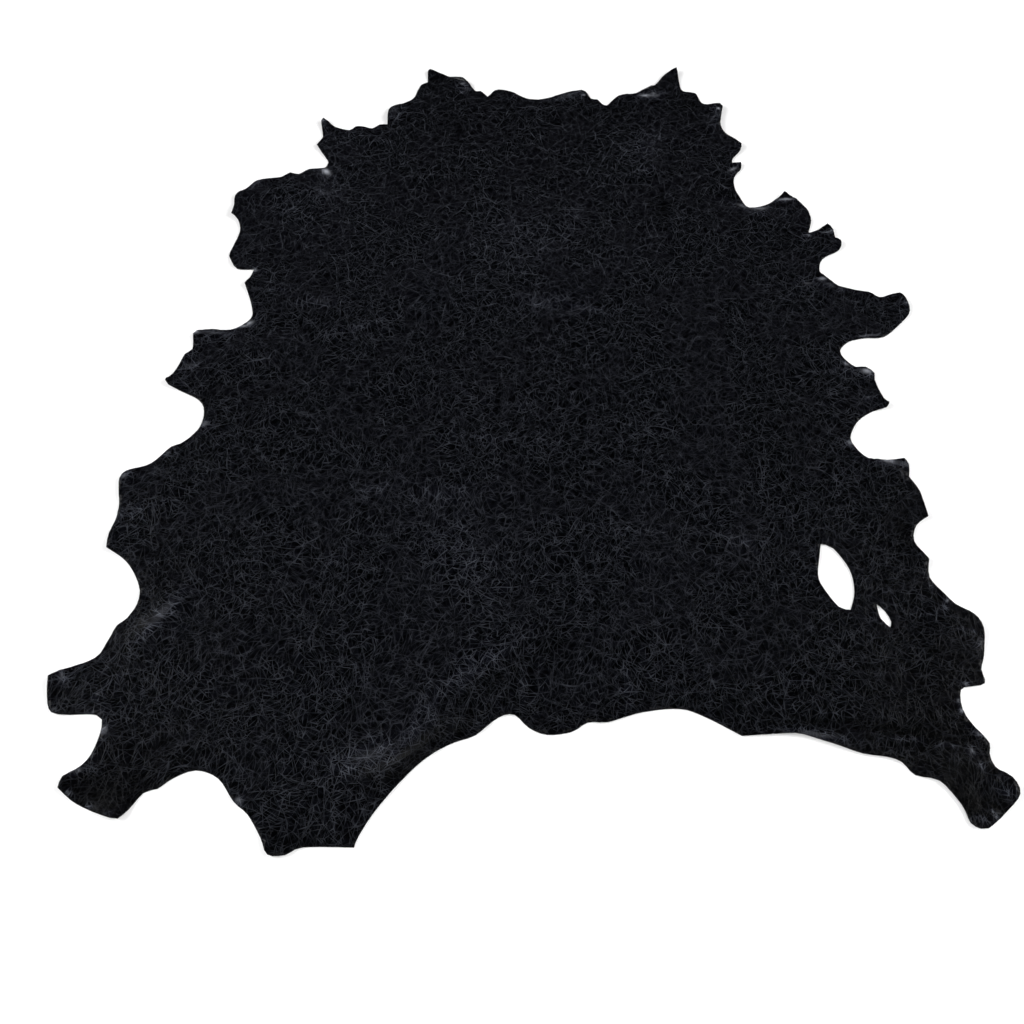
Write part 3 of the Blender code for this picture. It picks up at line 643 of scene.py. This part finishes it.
class Nodes:
    """Short ways to add and join a material's nodes."""

    def __init__(self, name):
        self.material = bpy.data.materials.new(name)
        self.material.use_nodes = True
        self.tree = self.material.node_tree
        self.shader = self.tree.nodes["Principled BSDF"]
        self.coords = self.add("ShaderNodeTexCoord").outputs["Object"]

    def add(self, kind, **settings):
        """A new node."""
        node = self.tree.nodes.new(kind)
        for setting, value in settings.items():
            setattr(node, setting, value)
        return node

    def join(self, output, socket):
        """A link between two nodes."""
        self.tree.links.new(output, socket)

    def feed(self, socket, value):
        """A link into a socket, or a constant on it."""
        if isinstance(value, (int, float, tuple)):
            socket.default_value = value
        else:
            self.join(value, socket)

    def maths(self, operation, first, second):
        """A sum, product or like operation on two values."""
        node = self.add("ShaderNodeMath", operation=operation)
        self.feed(node.inputs[0], first)
        self.feed(node.inputs[1], second)
        return node.outputs[0]

    def span(self, value, low, high, out_low, out_high):
        """A value carried from one range to another and held at its ends."""
        node = self.add("ShaderNodeMapRange")
        self.join(value, node.inputs["Value"])
        node.inputs["From Min"].default_value = low
        node.inputs["From Max"].default_value = high
        node.inputs["To Min"].default_value = out_low
        node.inputs["To Max"].default_value = out_high
        return node.outputs["Result"]

    def noise(self, cloud):
        """Soft noise over the hide, seen from above."""
        moved = self.add("ShaderNodeVectorMath", operation="ADD")
        self.join(self.coords, moved.inputs[0])
        moved.inputs[1].default_value = (cloud.offset, cloud.offset * CLOUD_SLANT, 0.0)
        node = self.add("ShaderNodeTexNoise", noise_dimensions="2D")
        self.join(moved.outputs[0], node.inputs["Vector"])
        node.inputs["Scale"].default_value = cloud.per_metre
        node.inputs["Detail"].default_value = cloud.detail
        return node

    def channels(self, cloud):
        """Three noises that don't repeat each other."""
        split = self.add("ShaderNodeSeparateColor")
        self.join(self.noise(cloud).outputs["Color"], split.inputs[0])
        return split.outputs

    def mix(self, share, first, second):
        """A colour between two others, which the node holds on its seventh and eighth sockets."""
        node = self.add("ShaderNodeMix", data_type="RGBA")
        self.join(share, node.inputs["Factor"])
        self.feed(node.inputs[6], first)
        self.feed(node.inputs[7], second)
        return node.outputs[2]

    def bump(self, height, strength, depth):
        """Fine relief of the shader's surface."""
        node = self.add("ShaderNodeBump")
        node.inputs["Strength"].default_value = strength
        node.inputs["Distance"].default_value = depth
        self.join(height, node.inputs["Height"])
        self.join(node.outputs[0], self.shader.inputs["Normal"])


# The soft noises that vary the coat.
LINE_LENGTHS = Cloud(26.0, 1.0, 5.0)
LINE_SHADES = Cloud(38.0, 1.0, 61.0)
LINE_BENDS = Cloud(6.0, 1.0, 33.0)
COAT_MOTTLE = Cloud(48.0, 3.0, 2.0)
COAT_PATCHES = Cloud(5.0, 3.0, 8.0)

# The crackle lines are the edges of long narrow cells, in layers that cross. Each layer has its turn in
# degrees, offset, cells for each metre along and across it, half width of its lines in millimetres, the
# share of it where they thin out, their strength, and the share of that strength at the neck, whose
# skin is thicker and cracks more coarsely. All the layers bend slowly together.
Crackle = namedtuple("Crackle", "turn offset along across half_width thinnest strength neck_share")
CRACKLES = [
    Crackle(12.0, 0.0, 20.0, 58.0, 0.55, 0.15, 1.0, 0.45),
    Crackle(37.0, 13.1, 16.0, 40.0, 0.6, 0.2, 0.8, 1.5),
    Crackle(64.0, 27.7, 19.0, 54.0, 0.55, 0.15, 1.0, 0.45),
    Crackle(86.0, 42.3, 17.0, 42.0, 0.6, 0.2, 0.8, 1.5),
    Crackle(108.0, 55.9, 20.0, 58.0, 0.55, 0.15, 1.0, 0.45),
    Crackle(131.0, 71.3, 16.0, 40.0, 0.6, 0.2, 0.8, 1.5),
    Crackle(158.0, 123.4, 19.0, 54.0, 0.55, 0.15, 1.0, 0.45),
    Crackle(48.0, 90.5, 6.0, 15.0, 0.75, 0.5, 1.0, 1.4),
    Crackle(139.0, 107.9, 7.0, 15.0, 0.75, 0.5, 1.0, 1.4),
]
CRACKLE_SLANT = 0.7
CRACKLE_BEND = 0.07
NECK_START = -0.4
NECK_END = 0.9
LENGTH_SPAN = (0.44, 0.56)
SHADE_SPAN = (0.35, 0.65, 0.3, 1.0)
LINE_CORE = 0.2


def bent_place(nodes):
    """The place on the hide, shifted slowly to and fro so that the crackle lines curve."""
    bend = nodes.add("ShaderNodeVectorMath", operation="MULTIPLY_ADD")
    nodes.join(nodes.noise(LINE_BENDS).outputs["Color"], bend.inputs[0])
    bend.inputs[1].default_value = (CRACKLE_BEND, CRACKLE_BEND, 0.0)
    nodes.join(nodes.coords, bend.inputs[2])
    return bend.outputs[0]


def edge_distance_of_cells(nodes, place, crackle):
    """Distance from the edges of one layer's long cells, in cells."""
    turned = nodes.add("ShaderNodeMapping", vector_type="TEXTURE")
    turned.inputs["Location"].default_value = (crackle.offset, crackle.offset * CRACKLE_SLANT, 0.0)
    turned.inputs["Rotation"].default_value = (0.0, 0.0, math.radians(crackle.turn))
    turned.inputs["Scale"].default_value = (1.0 / crackle.along, 1.0 / crackle.across, 1.0)
    nodes.join(place, turned.inputs["Vector"])
    cells = nodes.add("ShaderNodeTexVoronoi", voronoi_dimensions="2D", feature="DISTANCE_TO_EDGE")
    cells.inputs["Scale"].default_value = 1.0
    nodes.join(turned.outputs[0], cells.inputs["Vector"])
    return cells.outputs["Distance"]


def crackle_lines(nodes):
    """Thin crossing lines of the crackle coat, 1 on a line and 0 off it."""
    lengths = nodes.channels(LINE_LENGTHS)
    shades = nodes.channels(LINE_SHADES)
    place = bent_place(nodes)
    split_place = nodes.add("ShaderNodeSeparateXYZ")
    nodes.join(nodes.coords, split_place.inputs[0])
    along_back = split_place.outputs["Y"]
    lines = None
    for index, crackle in enumerate(CRACKLES):
        distance = edge_distance_of_cells(nodes, place, crackle)
        width = crackle.half_width * MM * crackle.across
        low, high = LENGTH_SPAN if index % 2 else LENGTH_SPAN[::-1]
        stroke = nodes.span(lengths[index % 3], low, high, crackle.thinnest * width, width)
        share = nodes.maths("DIVIDE", distance, stroke)
        shade = nodes.span(shades[(index + 1) % 3], *SHADE_SPAN)
        line = nodes.maths("MULTIPLY", nodes.span(share, LINE_CORE, 1.0, crackle.strength, 0.0), shade)
        change = nodes.span(along_back, NECK_START, NECK_END, 1.0, crackle.neck_share)
        line = nodes.maths("MULTIPLY", line, change)
        lines = line if lines is None else nodes.maths("MAXIMUM", lines, line)
    return lines


# The coat: near black, a little greyer in the mottle's clouds and pale on the crackle lines, with painted
# highlights and painted shade added to its colour.
GRAIN_BLACK = (0.0002, 0.0002, 0.0005, 1.0)
GRAIN_GREY = (0.0017, 0.0018, 0.0028, 1.0)
CRACKLE_GREY = (0.038, 0.041, 0.050, 1.0)
GREY_SPAN = (0.4, 0.62, 0.0, 1.0)
PATCH_SPAN = (0.3, 0.7, 0.85, 1.0)
MOTTLE_SPAN = (0.3, 0.7, 0.6, 1.0)
ROUGHNESS_SPAN = (0.3, 0.7, 0.30, 0.24)
# Painted sheen: grey added to the coat's colour above the knee, a painted highlight on folds and lifted
# edges.
PAINTED_SHEEN = (0.050, 0.052, 0.058)
TONE_AND_LIGHT_STEP = 4.0
PAINTED_SHEEN_KNEE = 0.5
GRAIN_SPECULAR = 0.05
LINE_RELIEF = 0.5
GRAIN_BUMP = 0.45
GRAIN_DEPTH = 0.0008


def with_tone_and_painted_light(nodes, colour):
    """A colour scaled by the coat's tone and painted light, which paints highlights and shade into it,
    with a painted sheen added where the value is above its knee.
    """
    tone = nodes.add("ShaderNodeAttribute", attribute_name="tone").outputs["Fac"]
    scaled = nodes.add("ShaderNodeVectorMath", operation="SCALE")
    nodes.join(colour, scaled.inputs[0])
    factor = nodes.maths("POWER", TONE_AND_LIGHT_STEP, nodes.maths("MINIMUM", tone, PAINTED_SHEEN_KNEE))
    nodes.join(factor, scaled.inputs["Scale"])
    over = nodes.maths("MAXIMUM", nodes.maths("SUBTRACT", tone, PAINTED_SHEEN_KNEE), 0.0)
    painted_shine = nodes.add("ShaderNodeVectorMath", operation="MULTIPLY_ADD")
    painted_shine.inputs[0].default_value = PAINTED_SHEEN
    nodes.join(nodes.maths("MULTIPLY", over, over), painted_shine.inputs[1])
    nodes.join(scaled.outputs[0], painted_shine.inputs[2])
    return painted_shine.outputs[0]


def grain_leather():
    """Black crackle grain: soft mottle, thin lighter crossing lines, painted highlights and painted shade
    in its colour, and a low sheen.
    """
    nodes = Nodes("crackle_grain")
    lines = crackle_lines(nodes)
    mottle = nodes.noise(COAT_MOTTLE).outputs["Fac"]
    patches = nodes.noise(COAT_PATCHES).outputs["Fac"]
    ground = nodes.mix(nodes.span(mottle, *GREY_SPAN), GRAIN_BLACK, GRAIN_GREY)
    strength = nodes.maths("MULTIPLY", lines, nodes.span(patches, *PATCH_SPAN))
    strength = nodes.maths("MULTIPLY", strength, nodes.span(mottle, *MOTTLE_SPAN))
    colour = nodes.mix(strength, ground, CRACKLE_GREY)
    # Base colour with painted highlights, painted sheen and painted shade from the tone and painted
    # light.
    nodes.join(with_tone_and_painted_light(nodes, colour), nodes.shader.inputs["Base Color"])
    nodes.join(nodes.span(patches, *ROUGHNESS_SPAN), nodes.shader.inputs["Roughness"])
    nodes.shader.inputs["Specular IOR Level"].default_value = GRAIN_SPECULAR
    height = nodes.maths("ADD", nodes.maths("MULTIPLY", lines, LINE_RELIEF), mottle)
    nodes.bump(height, GRAIN_BUMP, GRAIN_DEPTH)
    return nodes.material


# The flesh side, below, is dark brushed suede, and the cut edge shows the raw grey fibre.
SUEDE_DARK = (0.018, 0.018, 0.020, 1.0)
SUEDE_PALE = (0.034, 0.033, 0.034, 1.0)
SUEDE_NAP = Cloud(25.0, 5.0, 1.0)
SUEDE_FIBRE = Cloud(420.0, 3.0, 4.0)
NAP_SPAN = (0.3, 0.7, 0.0, 1.0)
SUEDE_ROUGHNESS = 0.95
SUEDE_SPECULAR = 0.15
SUEDE_SHEEN = 0.15
SUEDE_BUMP = 0.6
SUEDE_DEPTH = 0.0006
FIBRE_DARK = (0.05, 0.05, 0.052, 1.0)
FIBRE_PALE = (0.16, 0.16, 0.162, 1.0)
FIBRE_CLOUD = Cloud(90.0, 3.0, 6.0)
FIBRE_SPAN = (0.35, 0.65, 0.0, 1.0)
FIBRE_ROUGHNESS = 0.9
FIBRE_SPECULAR = 0.2


def flesh_suede():
    """Dark suede of the flesh side."""
    nodes = Nodes("flesh_suede")
    nap = nodes.span(nodes.noise(SUEDE_NAP).outputs["Fac"], *NAP_SPAN)
    nodes.join(nodes.mix(nap, SUEDE_DARK, SUEDE_PALE), nodes.shader.inputs["Base Color"])
    nodes.shader.inputs["Roughness"].default_value = SUEDE_ROUGHNESS
    nodes.shader.inputs["Specular IOR Level"].default_value = SUEDE_SPECULAR
    nodes.shader.inputs["Sheen Weight"].default_value = SUEDE_SHEEN
    nodes.bump(nodes.noise(SUEDE_FIBRE).outputs["Fac"], SUEDE_BUMP, SUEDE_DEPTH)
    return nodes.material


def cut_fibre():
    """Raw grey fibre of the cut edge."""
    nodes = Nodes("cut_fibre")
    fibre = nodes.span(nodes.noise(FIBRE_CLOUD).outputs["Fac"], *FIBRE_SPAN)
    nodes.join(nodes.mix(fibre, FIBRE_DARK, FIBRE_PALE), nodes.shader.inputs["Base Color"])
    nodes.shader.inputs["Roughness"].default_value = FIBRE_ROUGHNESS
    nodes.shader.inputs["Specular IOR Level"].default_value = FIBRE_SPECULAR
    return nodes.material


solid = cad_copy("hide")
hide = cut_flat_sheet(solid)
shape_hide(hide, solid)
solid.free()
thicken(hide)
hide.data.materials.clear()
for material in (grain_leather(), flesh_suede(), cut_fibre()):
    hide.data.materials.append(material)
for polygon in hide.data.polygons:
    polygon.material_index = 0
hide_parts("hide")
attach(hide, "root")
